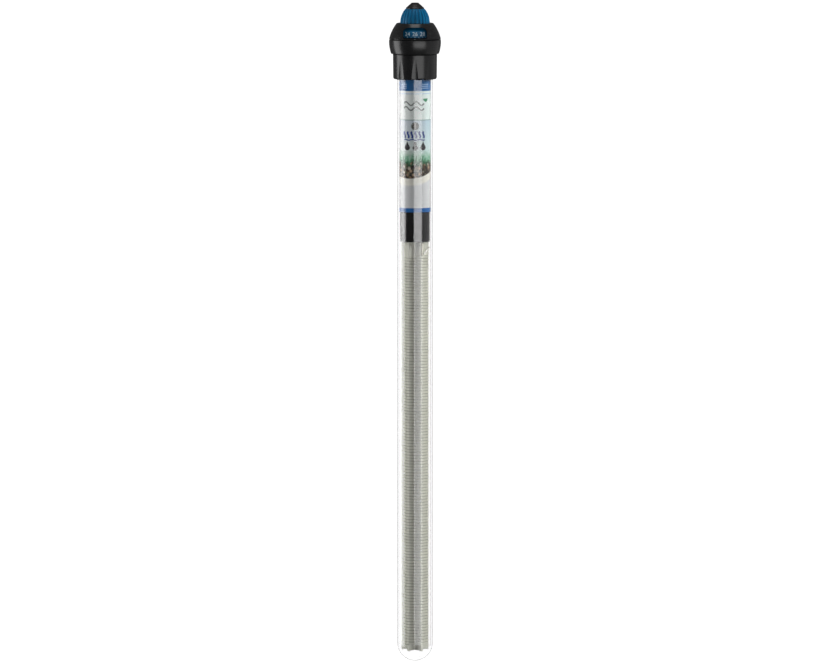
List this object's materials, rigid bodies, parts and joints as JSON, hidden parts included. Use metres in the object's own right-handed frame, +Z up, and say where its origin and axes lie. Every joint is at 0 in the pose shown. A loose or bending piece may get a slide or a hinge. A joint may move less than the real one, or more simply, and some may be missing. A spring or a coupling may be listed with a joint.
{
  "type": "submersible aquarium heater",
  "caption": "Tall glass-tube aquarium heater with a domed dial head, fluted knob, thermostat, pilot lamp and ribbed ceramic element.",
  "frame": {"origin": "on the tube's axis, in the plane of the union nut's underside, where the bare glass begins", "axes": "+Z up along the tube towards the knob, the tube hangs below; -Y towards the label's and dial window's front; +Y the cable inlet's side"},
  "size_m": [0.0376, 0.0443, 0.4816],
  "materials": {
    "glass": "clear borosilicate",
    "black_plastic": "fine satin moulded",
    "blue_plastic": "satin moulded",
    "rubber": "moulded",
    "label_print": "printed film",
    "black_sleeve": "glossy",
    "ceramic": "unglazed",
    "mica": "layered",
    "laminate": "hard paper",
    "steel": "zinc plated",
    "brass": "turned",
    "contact_silver": "polished",
    "bimetal": "rolled",
    "magnet": "sintered",
    "resistance_wire": "oxidised",
    "lead_insulation": "silicone",
    "resin": "cast",
    "component_body": "dipped",
    "capacitor_case": "moulded",
    "lamp_glass": "neon lamp",
    "glass_fibre": "braided"
  },
  "bodies": {
    "head": {"glass_tube": "glass", "union_nut": "black_plastic", "slip_ring": "black_plastic", "tube_gasket": "rubber", "head_body": "black_plastic", "lead_potting": "resin", "cable_grommet": "rubber", "dome_cover": "black_plastic", "seal_ring": "rubber", "seal_keeper": "black_plastic", "carrier_board": "laminate", "board_rivets": "brass", "bush_bracket": "steel", "threaded_bush": "brass", "lever_bracket": "steel", "pivot_pin": "steel", "return_spring": "steel", "fixed_bracket": "brass", "fixed_contact": "contact_silver", "snap_magnet": "magnet", "pilot_lamp": "lamp_glass", "lamp_clip": "black_plastic", "lamp_resistor": "component_body", "capacitor": "capacitor_case", "thermal_fuse": "ceramic", "terminals": "brass", "top_spider": "laminate", "supply_leads": "lead_insulation", "label_film": "label_print", "shield_sleeve": "black_sleeve", "heat_shield": "mica", "core_cap": "ceramic", "ceramic_core": "ceramic", "heating_wire": "resistance_wire", "start_lead": "lead_insulation", "lead_sleeve": "glass_fibre", "return_lead": "lead_insulation"},
    "spindle": {"spindle": "black_plastic", "spindle_cap": "black_plastic", "spindle_clip": "steel", "detent_spring": "steel"},
    "dial": {"dial_knob": "blue_plastic"},
    "screw": {"adjusting_screw": "brass"},
    "lever": {"set_lever": "steel"},
    "bimetal": {"bimetal_strip": "bimetal", "strip_rivets": "brass", "moving_contact": "contact_silver"}
  },
  "joints": [
    {"name": "temperature_turn", "type": "hinge", "parent": "head", "child": "spindle", "pos_m": [0, 0, 0.03], "axis": [0, 0, 1], "range_deg": [-150, 150]},
    {"name": "calibration_turn", "type": "hinge", "parent": "spindle", "child": "dial", "pos_m": [0, 0, 0.045], "axis": [0, 0, 1], "range_deg": [-20, 20]},
    {"name": "screw_travel", "type": "slide", "parent": "spindle", "child": "screw", "axis": [0, 0, 1], "range_m": [-0.000208, 0.000208]},
    {"name": "lever_tilt", "type": "hinge", "parent": "head", "child": "lever", "pos_m": [0.007, 0, -0.0192], "axis": [0, 1, 0], "range_deg": [-1.8, 1.8]},
    {"name": "bimetal_flex", "type": "hinge", "parent": "lever", "child": "bimetal", "pos_m": [0.00225, 0, -0.0314], "axis": [0, 1, 0], "range_deg": [0, 2], "stiffness_Nm_per_rad": 0.8}
  ],
  "couplings": [
    {"joint": "temperature_turn", "follows": "screw_travel", "rad_per_m": 12566},
    {"joint": "lever_tilt", "follows": "screw_travel", "rad_per_m": 142.86}
  ]
}
